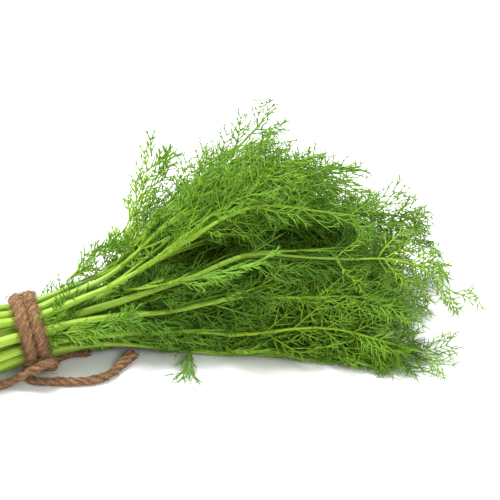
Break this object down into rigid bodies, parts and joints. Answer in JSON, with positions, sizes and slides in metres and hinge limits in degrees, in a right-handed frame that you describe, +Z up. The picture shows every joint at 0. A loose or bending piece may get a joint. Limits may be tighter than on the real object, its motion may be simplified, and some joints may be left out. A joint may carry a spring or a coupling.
{
  "type": "dill bunch",
  "caption": "Bunch of fresh dill lying down: slim green stalks tied with jute twine, opening into a fan of feathery fronds.",
  "frame": {"origin": "middle of the bunch's footprint, on the surface that it lies on", "axes": "+X along the bunch from the cut ends to the tips of the fronds, +Z up, +Y across to the side away from the knot"},
  "size_m": [0.249, 0.1316, 0.0822],
  "materials": {
    "stalk": "smooth, lengthwise ribbed, slightly waxy, yellow-green",
    "frond": "thread-like leaf segments, mid to bright green, darker inside the bunch",
    "twine": "rough twisted jute with stray fibres, mid brown"
  },
  "bodies": {
    "root": {"stalk_low_1": "stalk", "frond_low_1": "frond", "stalk_low_2": "stalk", "frond_low_2": "frond", "stalk_low_3": "stalk", "frond_low_3": "frond", "stalk_low_4": "stalk", "frond_low_4": "frond", "stalk_low_5": "stalk", "frond_low_5": "frond", "stalk_flank_1": "stalk", "frond_flank_1": "frond", "stalk_flank_2": "stalk", "frond_flank_2": "frond", "stalk_flank_3": "stalk", "frond_flank_3": "frond", "stalk_flank_4": "stalk", "frond_flank_4": "frond", "stalk_flank_5": "stalk", "frond_flank_5": "frond", "stalk_heart_1": "stalk", "frond_heart_1": "frond", "stalk_heart_2": "stalk", "frond_heart_2": "frond", "stalk_heart_3": "stalk", "frond_heart_3": "frond", "stalk_heart_4": "stalk", "frond_heart_4": "frond", "stalk_heart_5": "stalk", "frond_heart_5": "frond", "stalk_crest_1": "stalk", "frond_crest_1": "frond", "stalk_crest_2": "stalk", "frond_crest_2": "frond", "stalk_crest_3": "stalk", "frond_crest_3": "frond", "stalk_crown_1": "stalk", "frond_crown_1": "frond", "stalk_crown_2": "stalk", "frond_crown_2": "frond", "stalk_crown_3": "stalk", "frond_crown_3": "frond", "leaf_pale": "frond", "leaf_tuft": "frond", "leaf_by_tie": "frond", "leaf_on_top": "frond", "leaf_far_low": "frond", "leaf_near_crown": "frond", "leaf_far_crown": "frond", "twine_loop_left": "twine", "twine_loop_right": "twine", "twine_knot": "twine", "twine_tail_left": "twine", "twine_tail_front": "twine"}
  },
  "joints": []
}
